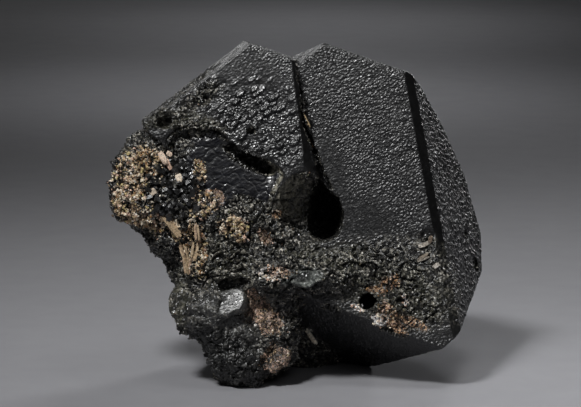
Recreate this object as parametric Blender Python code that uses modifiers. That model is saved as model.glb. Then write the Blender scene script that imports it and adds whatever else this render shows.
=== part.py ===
"""An alabandite specimen: two intergrown black octahedral crystals on rough, carbonate-crusted rock.

It is one natural piece, so it is one solid. The shape is drawn as the front view shows it: places are
given in millimetres to the right, up and back, seen by someone who looks down on the specimen a little.
"""

import math
from collections import namedtuple

import bmesh
import bpy
from mathutils import Matrix, Vector, noise

MM = 0.001

# How far the front view looks down, and the height at which the specimen's underside is worn flat
VIEW_TILT = math.radians(10.0)
FLOOR_HEIGHT = 1.95 * MM

# Angles between the normals of an isometric crystal's faces
OCTAHEDRON = math.acos(1 / 3)
BEVEL = OCTAHEDRON / 2
FAR_SIDE = math.pi - OCTAHEDRON

# The right crystal's front face, which its other faces start from
RIGHT_MIDDLE = (13.0, 30.0)
RIGHT_DEPTH = -8.0
RIGHT_LEAN = math.radians(6.0)
RIGHT_TURN = math.radians(-2.0)
RIGHT_THICKNESS = 29.0

# The left crystal's front face stands a little nearer than the right one's
LEFT_MIDDLE = (-7.0, 44.0)
LEFT_DEPTH = -9.4
LEFT_LEAN = math.radians(8.0)
LEFT_TURN = math.radians(-3.0)
LEFT_THICKNESS = 24.0

# A block larger than the specimen, which the crystals are cut from
BLANK_SIDE = 160.0

# The rough rock: its mesh, and the widths and heights of its lumps, blocks and grains
ROCK_VOXEL = 0.75
ROCK_TRIANGLES = 8200
LUMP_WIDTH, LUMP_HEIGHT = 7.0, 1.25
BLOCK_WIDTH, BLOCK_HEIGHT = 4.2, 1.5
GRAIN_WIDTH, GRAIN_HEIGHT = 1.9, 0.55

# Where the rock bulges: right, up, back, then its half sizes along those
ROCK_LUMPS = (
    (-20.5, 32.0, -0.5, 9.2, 8.0, 9.6),
    (-20.3, 37.5, -1.5, 6.5, 4.7, 7.9),
    (-17.6, 24.2, -1.5, 5.6, 4.6, 7.2),
    (-12.0, 29.5, -3.2, 8.5, 9.0, 7.7),
    (-4.5, 29.5, -2.5, 7.0, 7.5, 8.1),
    (-0.5, 26.0, -4.0, 5.5, 6.5, 6.6),
    (-9.5, 23.5, -3.0, 7.0, 6.0, 7.0),
    (-12.5, 19.5, -1.5, 7.0, 6.0, 8.5),
    (-12.0, 12.0, -4.0, 7.0, 5.6, 8.0),
    (-8.0, 6.8, -4.5, 6.2, 6.8, 7.5),
    (-4.2, 8.2, -3.5, 5.6, 7.0, 7.0),
    (-1.5, 18.8, -5.0, 8.5, 5.4, 7.6),
    (6.5, 19.2, -7.0, 8.0, 4.4, 4.7),
    (15.5, 18.3, -8.0, 8.0, 4.5, 2.1),
    (17.5, 12.6, -8.7, 6.6, 4.2, 2.1),
    (-9.0, 24.0, 9.0, 10.5, 12.5, 9.0),
    (0.0, 10.5, 12.0, 11.0, 10.0, 11.0),
    (-2.0, 27.0, 12.5, 8.5, 8.5, 8.0),
    (-15.5, 30.0, 7.0, 8.0, 8.0, 7.5),
    (5.0, 20.0, 18.0, 10.0, 12.0, 7.5),
)

# The broken lower rim of the left crystal, and how far the fracture under it lies behind its face
FRACTURE_RIM = (
    (-19.8, 39.2),
    (-18.6, 40.6),
    (-17.2, 40.9),
    (-14.0, 41.0),
    (-12.0, 41.3),
    (-11.6, 40.1),
    (-9.5, 38.8),
    (-7.3, 36.9),
    (-4.8, 36.4),
    (-2.4, 34.9),
    (-1.7, 33.9),
    (-3.0, 31.3),
    (-4.5, 28.0),
    (-8.0, 26.5),
    (-12.5, 27.5),
    (-16.5, 31.0),
    (-19.0, 35.5),
)
FRACTURE_DEPTH = 1.7

# The long pocket under the rim, deepest in its middle: its middle, half sizes and slope
POCKET_MIDDLE = (-6.9, 36.3)
POCKET_HALF = (4.9, 1.3, 2.0)
POCKET_SLOPE = math.radians(-27.0)

# The gap between the crystals: points along it and its width there, from the top down, and its depth
CRACK = (
    (0.2, 53.8, 0.25),
    (0.7, 49.1, 0.3),
    (1.2, 46.9, 0.35),
    (1.35, 43.9, 0.4),
    (1.9, 41.3, 0.5),
    (2.7, 39.4, 0.75),
    (3.3, 37.8, 0.75),
    (3.9, 36.0, 0.85),
    (4.6, 33.6, 1.5),
    (5.2, 31.6, 2.2),
)
CRACK_DEPTH = 2.6

# The opening where the crack ends: its outline, then its depth and size from the front to its end
CAVITY_OUTLINE = (
    (3.9, 34.2),
    (5.4, 31.9),
    (7.3, 30.2),
    (8.0, 28.0),
    (7.8, 25.7),
    (6.7, 23.9),
    (4.8, 23.2),
    (3.0, 23.8),
    (2.2, 25.5),
    (2.2, 27.8),
    (2.6, 30.0),
    (3.2, 32.1),
)
CAVITY_AXIS = (5.2, 27.3)
CAVITY_STEPS = (
    (-17.0, 1.25),
    (-9.6, 1.06),
    (-8.0, 0.98),
    (-5.0, 0.94),
    (-1.0, 0.86),
    (2.5, 0.66),
    (5.0, 0.3),
)

# The left wall of the opening falls away gently, like a funnel
FUNNEL_MIDDLE = (2.5, 28.2, -16.0)
FUNNEL_HALF = (6.2, 7.0, 12.0)

# The small round hole low on the right crystal
HOLE_MIDDLE = (11.7, 14.1)
HOLE_RADIUS = 1.3
HOLE_DEPTH = 5.0

# The hollow under the rough band, above the right crystal's lower edge
UNDERCUT_MIDDLE = (3.2, 12.2, -11.5)
UNDERCUT_HALF = (5.4, 1.9, 5.0)

# Small pits: where the front view shows them, their half sizes along right, up and back, and their slope
PITS = (
    (-20.2, 42.2, 0.9, 0.8, 1.4, 0.0),
    (-14.7, 49.0, 1.3, 0.5, 0.9, 35.0),
    (-6.5, 40.9, 0.7, 0.6, 0.7, 0.0),
    (21.4, 23.3, 1.1, 0.8, 0.6, 30.0),
    (20.7, 21.0, 0.8, 0.6, 0.5, 30.0),
    (27.9, 24.4, 0.6, 1.1, 0.9, 0.0),
    (29.5, 19.6, 1.0, 1.2, 1.6, 20.0),
)

# Long crystals on the rock: where the front view shows them, length, width, height and slope
LATHS = (
    (-19.0, 25.8, 4.4, 1.0, 1.3, -55.0),
    (-16.6, 21.0, 4.0, 0.9, 1.1, -68.0),
    (3.0, 8.6, 2.7, 1.5, 2.4, -60.0),
)

Face = namedtuple("Face", "point normal")


def seen(right, up, back):
    """The place that the front view shows at right and up, at that depth, all in millimetres."""
    across = Vector((1, 0, 0))
    upward = Vector((0, math.sin(VIEW_TILT), math.cos(VIEW_TILT)))
    away = Vector((0, math.cos(VIEW_TILT), -math.sin(VIEW_TILT)))
    return (across * right + upward * up + away * back) * MM


def facing(lean, turn):
    """The direction towards the viewer, leaned up and turned to the right."""
    towards = seen(0, 0, -1).normalized()
    lean_up = Matrix.Rotation(-lean, 3, seen(1, 0, 0).normalized())
    turn_right = Matrix.Rotation(turn, 3, seen(0, 1, 0).normalized())
    return turn_right @ lean_up @ towards


def on_face(face, right, up):
    """The point of a face that the front view shows at right and up."""
    start = seen(right, up, 0)
    away = seen(0, 0, 1).normalized()
    return start + away * ((face.point - start).dot(face.normal) / away.dot(face.normal))


def beyond(face, middle, start, end, turn):
    """The face that meets the given one along start to end, turned away from the crystal's middle."""
    a = on_face(face, *start)
    b = on_face(face, *end)
    hinge = (b - a).normalized()
    outward = (a + b) / 2 - on_face(face, *middle)
    outward -= hinge * outward.dot(hinge)
    turned = Matrix.Rotation(turn, 3, hinge) @ face.normal
    if turned.dot(outward) < 0:
        turned = Matrix.Rotation(-turn, 3, hinge) @ face.normal
    return Face(a, turned)


def behind(face, depth):
    """The same face, moved into the crystal."""
    return Face(face.point - face.normal * depth * MM, face.normal)


def helper(name, bm):
    """An object for a shape that is joined or cut, which isn't a part of its own."""
    mesh = bpy.data.meshes.new(name)
    bm.to_mesh(mesh)
    bm.free()
    thing = bpy.data.objects.new(name, mesh)
    helpers.objects.link(thing)
    thing.hide_render = True
    thing.display_type = "WIRE"
    return thing


def crystal(name, faces):
    """A block cut back to the inner side of every face."""
    bm = bmesh.new()
    bmesh.ops.create_cube(bm, size=BLANK_SIDE * MM, matrix=Matrix.Translation(seen(0, 28, 0)))
    for face in faces:
        cut = bmesh.ops.bisect_plane(
            bm,
            geom=bm.verts[:] + bm.edges[:] + bm.faces[:],
            plane_co=face.point,
            plane_no=face.normal,
            clear_outer=True,
        )
        rim = [piece for piece in cut["geom_cut"] if isinstance(piece, bmesh.types.BMEdge)]
        bmesh.ops.contextual_create(bm, geom=rim)
    bmesh.ops.recalc_face_normals(bm, faces=bm.faces[:])
    return helper(name, bm)


def right_crystal(front):
    side = beyond(front, RIGHT_MIDDLE, (18.5, 50.5), (25.8, 10.0), OCTAHEDRON)
    under = beyond(front, RIGHT_MIDDLE, (23.6, 6.6), (8.5, 12.4), OCTAHEDRON)
    crown = beyond(front, RIGHT_MIDDLE, (1.4, 51.7), (5.1, 54.8), OCTAHEDRON)
    back = behind(front, RIGHT_THICKNESS)
    faces = [
        front,
        side,
        under,
        crown,
        beyond(front, RIGHT_MIDDLE, (17.5, 50.4), (24.8, 9.8), BEVEL),
        beyond(front, RIGHT_MIDDLE, (4.9, 54.4), (17.4, 50.0), BEVEL),
        beyond(front, RIGHT_MIDDLE, (5.0, 55.0), (17.6, 50.6), FAR_SIDE),
        beyond(front, RIGHT_MIDDLE, (-0.8, 52.7), (-0.8, 13.0), math.radians(84)),
        beyond(front, RIGHT_MIDDLE, (26.0, 8.9), (23.2, 6.5), FAR_SIDE),
        beyond(crown, RIGHT_MIDDLE, (0.0, 52.8), (3.3, 55.5), math.radians(62)),
        beyond(side, RIGHT_MIDDLE, (19.4, 49.5), (23.9, 42.2), math.radians(58)),
        beyond(side, RIGHT_MIDDLE, (23.5, 43.2), (27.9, 34.0), math.radians(54)),
        beyond(side, RIGHT_MIDDLE, (27.6, 34.9), (30.6, 24.6), math.radians(52)),
        beyond(side, RIGHT_MIDDLE, (30.6, 26.0), (30.6, 15.0), math.radians(50)),
        beyond(side, RIGHT_MIDDLE, (30.6, 17.2), (25.6, 7.6), math.radians(56)),
        beyond(under, RIGHT_MIDDLE, (25.2, 7.5), (15.6, 3.1), math.radians(64)),
        beyond(under, RIGHT_MIDDLE, (17.5, 3.4), (3.5, 2.6), math.radians(58)),
        beyond(under, RIGHT_MIDDLE, (5.0, 2.4), (-2.0, 5.6), math.radians(50)),
        Face(back.point, -back.normal),
    ]
    return crystal("right_crystal", faces)


def left_crystal(front):
    crown = beyond(front, LEFT_MIDDLE, (-7.0, 54.2), (-21.8, 42.8), OCTAHEDRON)
    back = behind(front, LEFT_THICKNESS)
    faces = [
        front,
        crown,
        beyond(crown, LEFT_MIDDLE, (-8.4, 54.9), (-22.8, 43.8), math.radians(60)),
        beyond(front, LEFT_MIDDLE, (-6.4, 54.4), (-0.4, 52.1), math.radians(80)),
        beyond(front, LEFT_MIDDLE, (-0.3, 52.4), (1.7, 36.3), BEVEL),
        beyond(front, LEFT_MIDDLE, (-0.1, 52.4), (3.0, 35.5), math.radians(84)),
        beyond(front, LEFT_MIDDLE, (-22.6, 43.8), (-23.1, 41.0), math.radians(75)),
        beyond(front, LEFT_MIDDLE, (-23.3, 41.2), (-18.5, 36.5), math.radians(95)),
        beyond(front, LEFT_MIDDLE, (-18.8, 36.7), (-10.8, 31.2), math.radians(100)),
        beyond(front, LEFT_MIDDLE, (-11.2, 31.4), (-2.0, 29.0), math.radians(100)),
        beyond(front, LEFT_MIDDLE, (4.0, 34.6), (1.0, 31.5), math.radians(80)),
        Face(back.point, -back.normal),
    ]
    return crystal("left_crystal", faces)


def bulges():
    """The rock's lumps, melted into one skin of small faces."""
    bm = bmesh.new()
    for right, up, back, wide, high, deep in ROCK_LUMPS:
        place = Matrix.Translation(seen(right, up, back))
        tilt = Matrix.Rotation(-VIEW_TILT, 4, "X")
        size = Matrix.Diagonal((wide * MM, deep * MM, high * MM, 1.0))
        bmesh.ops.create_icosphere(bm, subdivisions=4, radius=1.0, matrix=place @ tilt @ size)
    lump = helper("rough_rock", bm)
    remesh = lump.modifiers.new("one_skin", "REMESH")
    remesh.mode = "VOXEL"
    remesh.voxel_size = ROCK_VOXEL * MM
    smooth = lump.modifiers.new("soft_seams", "SMOOTH")
    smooth.factor = 0.5
    smooth.iterations = 6
    settle(lump)
    return lump


def relief(place):
    """How far the rock stands out at a place: lumps, angular blocks with gaps between them, and grains."""
    spot = place / MM
    lumps = noise.noise(spot / LUMP_WIDTH) * LUMP_HEIGHT
    near, next_one = noise.voronoi(spot / BLOCK_WIDTH)[0][:2]
    blocks = (min(next_one - near, 0.45) - 0.28) * BLOCK_HEIGHT
    grains = noise.noise(spot / GRAIN_WIDTH) * GRAIN_HEIGHT
    return (lumps + blocks + grains) * MM


def rough_rock():
    """The rock with its relief, in few enough faces for a solid."""
    rock = bulges()
    bm = bmesh.new()
    bm.from_mesh(rock.data)
    bm.normal_update()
    moves = [vert.normal * relief(vert.co) for vert in bm.verts]
    for vert, move in zip(bm.verts, moves):
        vert.co += move
    bmesh.ops.triangulate(bm, faces=bm.faces[:])
    count = len(bm.faces)
    bm.to_mesh(rock.data)
    bm.free()
    fewer = rock.modifiers.new("fewer_faces", "DECIMATE")
    fewer.ratio = ROCK_TRIANGLES / count
    settle(rock)
    return rock


def lofted(name, rings):
    """A closed skin over rings of equally many points, capped at both ends."""
    bm = bmesh.new()
    loops = [[bm.verts.new(point) for point in ring] for ring in rings]
    for first, second in zip(loops, loops[1:]):
        for i in range(len(first)):
            j = (i + 1) % len(first)
            bm.faces.new((first[i], first[j], second[j], second[i]))
    bm.faces.new(loops[0])
    bm.faces.new(loops[-1])
    bmesh.ops.triangulate(bm, faces=bm.faces[:])
    bmesh.ops.recalc_face_normals(bm, faces=bm.faces[:])
    return helper(name, bm)


def ellipsoid(name, middle, half, slope=0.0):
    """A stretched ball, sloping in the front view; half sizes run right, up and back."""
    bm = bmesh.new()
    tilt = Matrix.Rotation(-VIEW_TILT, 4, "X")
    turn = Matrix.Rotation(-slope, 4, "Y")
    size = Matrix.Diagonal((half[0] * MM, half[2] * MM, half[1] * MM, 1.0))
    place = Matrix.Translation(middle)
    bmesh.ops.create_icosphere(bm, subdivisions=2, radius=1.0, matrix=place @ tilt @ turn @ size)
    return helper(name, bm)


def settle(thing):
    """Carries out an object's modifiers, so that the next step starts from plain faces."""
    graph = bpy.context.evaluated_depsgraph_get()
    thing.data = bpy.data.meshes.new_from_object(thing.evaluated_get(graph))
    thing.modifiers.clear()


def combine(body, operation, tools):
    """Joins the tools to the body, or cuts them out of it."""
    for tool in tools:
        step = body.modifiers.new(tool.name, "BOOLEAN")
        step.operation = operation
        step.solver = "EXACT"
        step.object = tool
    settle(body)


def front_of(body, right, up):
    """The first point of the body that the front view shows at right and up."""
    found, place, _, _ = body.ray_cast(seen(right, up, -60), seen(0, 0, 1).normalized())
    return place if found else seen(right, up, 0)


def fracture(front):
    """What is broken away below the left crystal's ragged rim, down to a plane behind its face."""
    floor = behind(front, FRACTURE_DEPTH)
    near = [seen(right, up, -25) for right, up in FRACTURE_RIM]
    far = [on_face(floor, right, up) for right, up in FRACTURE_RIM]
    return lofted("fracture", (near, far))


def crack(front):
    """A narrow slot along the line where the crystals meet."""
    left_side = [(right - width / 2, up) for right, up, width in CRACK]
    right_side = [(right + width / 2, up) for right, up, width in reversed(CRACK)]
    path = left_side + right_side
    floor = behind(front, CRACK_DEPTH)
    near = [seen(right, up, -25) for right, up in path]
    far = [on_face(floor, right, up) for right, up in path]
    return lofted("crack", (near, far))


def cavity():
    """The dark opening between the crystals, narrowing towards its end."""
    rings = []
    for back, size in CAVITY_STEPS:
        ring = []
        for right, up in CAVITY_OUTLINE:
            across = CAVITY_AXIS[0] + (right - CAVITY_AXIS[0]) * size
            upward = CAVITY_AXIS[1] + (up - CAVITY_AXIS[1]) * size
            ring.append(seen(across, upward, back))
        rings.append(ring)
    return lofted("cavity", rings)


def hole(body):
    """A short round hole along the view."""
    bm = bmesh.new()
    mouth = front_of(body, *HOLE_MIDDLE)
    tilt = Matrix.Rotation(math.pi / 2 - VIEW_TILT, 4, "X")
    bmesh.ops.create_cone(
        bm,
        cap_ends=True,
        segments=14,
        radius1=HOLE_RADIUS * 0.7 * MM,
        radius2=HOLE_RADIUS * 1.3 * MM,
        depth=HOLE_DEPTH * 2 * MM,
        matrix=Matrix.Translation(mouth) @ tilt,
    )
    return helper("hole", bm)


def pits(body):
    """A hollow for each small pit, sunk into the surface there."""
    hollows = []
    for right, up, wide, high, deep, slope in PITS:
        middle = front_of(body, right, up)
        hollows.append(ellipsoid("pit", middle, (wide, high, deep), math.radians(slope)))
    return hollows


def laths(body):
    """A six-sided rod for each long crystal, half sunk into the rock."""
    rods = []
    for right, up, length, width, height, slope in LATHS:
        bm = bmesh.new()
        middle = front_of(body, right, up)
        tilt = Matrix.Rotation(-VIEW_TILT, 4, "X")
        turn = Matrix.Rotation(-math.radians(slope), 4, "Y")
        along = Matrix.Rotation(math.pi / 2, 4, "Y")
        size = Matrix.Diagonal((length * MM, height * MM, width * MM, 1.0))
        shape = Matrix.Translation(middle) @ tilt @ turn @ size @ along
        bmesh.ops.create_cone(
            bm,
            cap_ends=True,
            segments=6,
            radius1=0.55,
            radius2=0.45,
            depth=1.0,
            matrix=shape,
        )
        rods.append(helper("lath", bm))
    return rods


def floor_block():
    """Everything below the level on which the specimen rests."""
    bm = bmesh.new()
    place = Vector((0, 0, FLOOR_HEIGHT - BLANK_SIDE / 2 * MM))
    bmesh.ops.create_cube(bm, size=BLANK_SIDE * MM, matrix=Matrix.Translation(place))
    return helper("floor_block", bm)


def keep_largest(body):
    """Removes crumbs and sealed hollows, which the joining may leave."""
    bm = bmesh.new()
    bm.from_mesh(body.data)
    bmesh.ops.remove_doubles(bm, verts=bm.verts[:], dist=0.00002)
    bmesh.ops.dissolve_degenerate(bm, edges=bm.edges[:], dist=0.00001)
    islands = []
    left = set(bm.verts)
    while left:
        island = {left.pop()}
        edge_of_search = list(island)
        while edge_of_search:
            vert = edge_of_search.pop()
            for edge in vert.link_edges:
                other = edge.other_vert(vert)
                if other in left:
                    left.discard(other)
                    island.add(other)
                    edge_of_search.append(other)
        islands.append(island)
    islands.sort(key=len)
    crumbs = [vert for island in islands[:-1] for vert in island]
    bmesh.ops.delete(bm, geom=crumbs, context="VERTS")
    bmesh.ops.triangulate(bm, faces=bm.faces[:])
    bm.to_mesh(body.data)
    bm.free()


def stand_on_origin(body):
    """Moves the body's mesh so that the bottom centre of its box is at the origin."""
    places = [vert.co for vert in body.data.vertices]
    middle_x = (min(place.x for place in places) + max(place.x for place in places)) / 2
    middle_y = (min(place.y for place in places) + max(place.y for place in places)) / 2
    bottom = min(place.z for place in places)
    body.data.transform(Matrix.Translation((-middle_x, -middle_y, -bottom)))


def black_crystal():
    """Iron-black with a submetallic shine."""
    material = bpy.data.materials.new("alabandite_black")
    material.use_nodes = True
    surface = material.node_tree.nodes["Principled BSDF"]
    surface.inputs["Base Color"].default_value = (0.022, 0.022, 0.024, 1.0)
    surface.inputs["Roughness"].default_value = 0.42
    surface.inputs["Metallic"].default_value = 0.25
    return material


for thing in list(bpy.data.objects):
    bpy.data.objects.remove(thing)
specimen = bpy.data.collections.new("alabandite_specimen")
helpers = bpy.data.collections.new("alabandite_helpers")
bpy.context.scene.collection.children.link(specimen)
bpy.context.scene.collection.children.link(helpers)

right_front = Face(seen(*RIGHT_MIDDLE, RIGHT_DEPTH), facing(RIGHT_LEAN, RIGHT_TURN))
left_front = Face(seen(*LEFT_MIDDLE, LEFT_DEPTH), facing(LEFT_LEAN, LEFT_TURN))

# The rock and the crystals grow together, then the openings are cut
alabandite = rough_rock()
combine(alabandite, "UNION", [right_crystal(right_front), left_crystal(left_front)])
funnel = ellipsoid("funnel", seen(*FUNNEL_MIDDLE), FUNNEL_HALF)
undercut = ellipsoid("undercut", seen(*UNDERCUT_MIDDLE), UNDERCUT_HALF)
combine(alabandite, "DIFFERENCE", [fracture(left_front), funnel, undercut])
pocket_middle = front_of(alabandite, *POCKET_MIDDLE)
pocket = ellipsoid("pocket", pocket_middle, POCKET_HALF, POCKET_SLOPE)
openings = [crack(right_front), cavity(), hole(alabandite), pocket] + pits(alabandite)
combine(alabandite, "UNION", laths(alabandite))
combine(alabandite, "DIFFERENCE", openings + [floor_block()])
keep_largest(alabandite)
stand_on_origin(alabandite)

# The finished solid leaves the helpers and gets its material
helpers.objects.unlink(alabandite)
specimen.objects.link(alabandite)
alabandite.name = "alabandite"
alabandite.data.name = "alabandite"
alabandite.hide_render = False
alabandite.display_type = "TEXTURED"
alabandite.data.materials.clear()
alabandite.data.materials.append(black_crystal())
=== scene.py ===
"""The looks of an alabandite hand specimen: two black crystals on rock with a carbonate crust.

Places marked right and up are in millimetres in the picture's plane, from the specimen's foot.
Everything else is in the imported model's frame, in metres.
"""

import functools
import itertools
import math

import bpy
import numpy as np
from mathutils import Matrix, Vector, noise
from mathutils.bvhtree import BVHTree


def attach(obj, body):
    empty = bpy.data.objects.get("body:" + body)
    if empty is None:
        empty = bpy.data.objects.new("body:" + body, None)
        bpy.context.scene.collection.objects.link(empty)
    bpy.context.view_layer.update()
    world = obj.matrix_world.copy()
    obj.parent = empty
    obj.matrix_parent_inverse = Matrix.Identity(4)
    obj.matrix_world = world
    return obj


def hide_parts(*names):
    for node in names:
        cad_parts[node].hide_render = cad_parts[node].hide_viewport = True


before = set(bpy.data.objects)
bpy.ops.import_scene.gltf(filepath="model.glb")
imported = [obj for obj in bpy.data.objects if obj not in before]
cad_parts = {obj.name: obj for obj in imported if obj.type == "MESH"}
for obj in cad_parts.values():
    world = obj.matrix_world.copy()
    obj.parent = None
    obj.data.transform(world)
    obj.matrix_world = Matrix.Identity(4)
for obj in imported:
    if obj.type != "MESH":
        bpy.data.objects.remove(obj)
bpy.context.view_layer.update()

MM = 0.001
NODE = "alabandite"
BODY = "root"

# The camera, as the photograph has it
VIEW_TILT = math.radians(10)
VIEW_DISTANCE = 0.5097
LENS = 200
SENSOR = 36
RIGHT = Vector((1, 0, 0))
UP = Vector((0, math.sin(VIEW_TILT), math.cos(VIEW_TILT)))
TO_CAMERA = Vector((0, -math.cos(VIEW_TILT), math.sin(VIEW_TILT)))
VIEW_MIDDLE = Vector((-0.00107, -0.01019, 0.02805))
PICTURE_MIDDLE = (-0.39, 29.4)
CAMERA_PLACE = VIEW_MIDDLE + TO_CAMERA * VIEW_DISTANCE

# The fine mesh: the size of its cells, and the share of triangles kept where the camera doesn't look
CELL = 0.13 * MM
BACK_SHARE = 0.15

# A crystal face: triangles in one plane, of at least this area in all, or less on a worn edge near the top
# that looks to the front or back
SMALLEST_START = 0.3 * MM * MM
SMALLEST_FACE = 20 * MM * MM
SMALLEST_EDGE = 5 * MM * MM
EDGE_HEIGHT = 34 * MM
EDGE_LEAN = 0.6
FLAT_ANGLE = math.radians(0.35)
FLAT_GAP = 0.06 * MM

# Below this a mask counts as 0
FAINT = 0.01


def as_array(items, field, width, kind=np.float64):
    """One field of every item, as rows."""
    found = np.empty(len(items) * width, kind)
    items.foreach_get(field, found)
    return found.reshape(-1, width) if width > 1 else found


def added(name, data):
    """A new object in the scene."""
    made = bpy.data.objects.new(name, data)
    bpy.context.scene.collection.objects.link(made)
    return made


def modified(copy):
    """The mesh that a helper object's modifiers make of it; the helper goes."""
    made = bpy.data.meshes.new_from_object(copy.evaluated_get(bpy.context.evaluated_depsgraph_get()))
    bpy.data.objects.remove(copy)
    return made


def keep(mesh, name, numbers):
    """Stores one number for each vertex, for the materials to read."""
    mesh.attributes.new(name, "FLOAT", "POINT").data.foreach_set("value", numbers.astype(np.float32))


def unit(rows):
    return rows / np.maximum(np.linalg.norm(rows, axis=1, keepdims=True), 1e-12)


def ramp(values, low, high):
    """0 below low, 1 above high, and a smooth rise between; low may be the larger."""
    share = np.clip((values - low) / (high - low), 0, 1)
    return share * share * (3 - 2 * share)


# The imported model's surface, and which of its triangles lie on crystal faces

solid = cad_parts[NODE]
solid.data.calc_loop_triangles()
CORNERS = as_array(solid.data.vertices, "co", 3)
TRIANGLES = as_array(solid.data.loop_triangles, "vertices", 3, np.int32)
surface = BVHTree.FromPolygons(CORNERS.tolist(), TRIANGLES.tolist())


def flat_faces():
    """The number of each triangle's crystal face, or -1, and every face's direction."""
    a, b, c = (CORNERS[TRIANGLES[:, i]] for i in range(3))
    across = np.cross(b - a, c - a)
    area = np.linalg.norm(across, axis=1) / 2
    facing = unit(across)
    offset = (facing * a).sum(1)
    number = np.full(len(area), -1)
    directions = []
    for i in np.argsort(-area):
        if number[i] != -1 or area[i] < SMALLEST_START:
            continue
        gap = np.abs(CORNERS[TRIANGLES] @ facing[i] - offset[i]).max(1)
        same = (number == -1) & (facing @ facing[i] > math.cos(FLAT_ANGLE)) & (gap < FLAT_GAP)
        total = area[same].sum()
        worn_edge = CORNERS[TRIANGLES[i], 2].min() > EDGE_HEIGHT and abs(facing[i][0]) < EDGE_LEAN
        if total > SMALLEST_FACE or (worn_edge and total > SMALLEST_EDGE):
            number[same] = len(directions)
            directions.append(facing[i])
    return number, np.array(directions)


FACE_OF, DIRECTIONS = flat_faces()


def sight(right, up):
    """Where the camera's line through right, up meets the solid, and the number of the triangle there."""
    aim = VIEW_MIDDLE + (RIGHT * (right - PICTURE_MIDDLE[0]) + UP * (up - PICTURE_MIDDLE[1])) * MM
    place, _, triangle, _ = surface.ray_cast(CAMERA_PLACE, aim - CAMERA_PLACE)
    if place is None:
        raise ValueError(f"the solid isn't seen at {right}, {up}")
    return place, triangle


def spot(right, up):
    """The place on the solid that the picture shows at right, up."""
    return sight(right, up)[0]


def face_at(right, up):
    """The number of the crystal face that the picture shows at right, up."""
    return FACE_OF[sight(right, up)[1]]


def nearest_faces(places):
    """The number of the crystal face nearest to each place, or -1 where that is rock."""
    return FACE_OF[[surface.find_nearest(p)[2] for p in places.tolist()]]


FLOOR_FACE = DIRECTIONS[:, 2].argmin()
FRACTURE_FACE = face_at(-12, 34.5)
LEFT_FRONT = face_at(-7.5, 44)
RIGHT_FRONT = face_at(12.75, 34)
LEFT_BEVEL = face_at(1.5, 40.75)
RIGHT_BEVEL = face_at(22, 29.25)
LEFT_CROWN = face_at(-15.5, 48.5)
RIGHT_CROWN = face_at(2, 53)


# Noise

# Large odd numbers that mix a cell's place and a seed into random numbers
AXIS_FACTORS = (73856093, 19349663, 83492791)
SEED_FACTOR = 7919
SEED_START = 101
MIXERS = (2246822519, 3266489917, 668265263)

# How far one seed lies from the next in the noise, in lumps
RIPPLE_STEP = 17.31
ROUGH_STEP = 9.73

# In rough noise, how fast the finer sizes weaken and how much finer each is than the last
ROUGH_FALL = 0.9
ROUGH_RATIO = 2.1


def hashed(cell, seed):
    """Three numbers from 0 to 1 for each whole-number cell, the same ones every time."""
    mixed = np.uint32(seed * SEED_FACTOR + SEED_START)
    for column, factor in zip(cell.T, AXIS_FACTORS):
        mixed = mixed ^ (column.astype(np.int64).astype(np.uint32) * np.uint32(factor))
    numbers = []
    for factor in MIXERS:
        mixed = (mixed ^ (mixed >> np.uint32(15))) * np.uint32(factor)
        numbers.append((mixed >> np.uint32(8)) / np.float32(1 << 24))
    return np.stack(numbers, 1)


def cells(places, size, seed, spread=0.85):
    """Cells of about that size: the distances to the nearest and the second centre in cell sizes,
    the way from the nearest centre, and three random numbers for that cell."""
    spots = places / size
    home = np.floor(spots)
    nearest = np.full(len(spots), np.inf)
    second = nearest.copy()
    way_in = np.zeros((len(spots), 3))
    lot = np.zeros((len(spots), 3))
    for step in itertools.product((-1, 0, 1), repeat=3):
        cell = home + step
        draw = hashed(cell, seed)
        way = spots - cell - 0.5 - (draw - 0.5) * spread
        gap = (way * way).sum(1)
        closer = gap < nearest
        second = np.where(closer, nearest, np.minimum(second, gap))
        nearest = np.where(closer, gap, nearest)
        way_in[closer] = way[closer]
        lot[closer] = draw[closer]
    return np.sqrt(nearest), np.sqrt(second), way_in, lot


def ripple(places, size, seed=0):
    """Soft noise from about -1 to 1, with lumps of about that size."""
    shifted = places / size + seed * RIPPLE_STEP
    return np.array([noise.noise(p) for p in shifted.tolist()])


def rough(places, size, seed=0, octaves=4):
    """Broken noise of several sizes, from about -1 to 1."""
    shifted = places / size + seed * ROUGH_STEP
    return np.array([noise.fractal(p, ROUGH_FALL, ROUGH_RATIO, octaves) for p in shifted.tolist()])


def stretched(places, along, factor):
    """The places squeezed along a direction, so that noise comes out stretched that way."""
    along = np.array(along.normalized())
    return places - np.outer(places @ along, along) * (1 - 1 / factor)


# The fine mesh and what lies where on it

def fine_mesh():
    """The solid's surface as small, even quads."""
    copy = added("fine", solid.data.copy())
    remesh = copy.modifiers.new("Remesh", "REMESH")
    remesh.mode = "VOXEL"
    remesh.voxel_size = CELL
    return modified(copy)


mesh = fine_mesh()
PLACES = as_array(mesh.vertices, "co", 3)
FACING = as_array(mesh.vertices, "normal", 3)
EDGES = as_array(mesh.edges, "vertices", 2, np.int32)
FACE = nearest_faces(PLACES)


def spread_out(values, rounds, edges=EDGES):
    """The values averaged over neighbours again and again."""
    count = np.bincount(edges.ravel(), minlength=len(values))
    for _ in range(rounds):
        total = np.bincount(edges[:, 0], values[edges[:, 1]], len(values))
        total += np.bincount(edges[:, 1], values[edges[:, 0]], len(values))
        values = 0.5 * values + 0.5 * total / np.maximum(count, 1)
    return values


def ironed(places, mask, rounds):
    """The places drawn towards a smoother surface where the mask is above 0."""
    near = mask > FAINT
    edges = (np.cumsum(near) - 1)[EDGES[near[EDGES].all(1)]]
    smooth = np.stack([spread_out(places[near, i], rounds, edges) for i in range(3)], 1)
    made = places.copy()
    made[near] += (smooth - places[near]) * mask[near, None]
    return made


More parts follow.
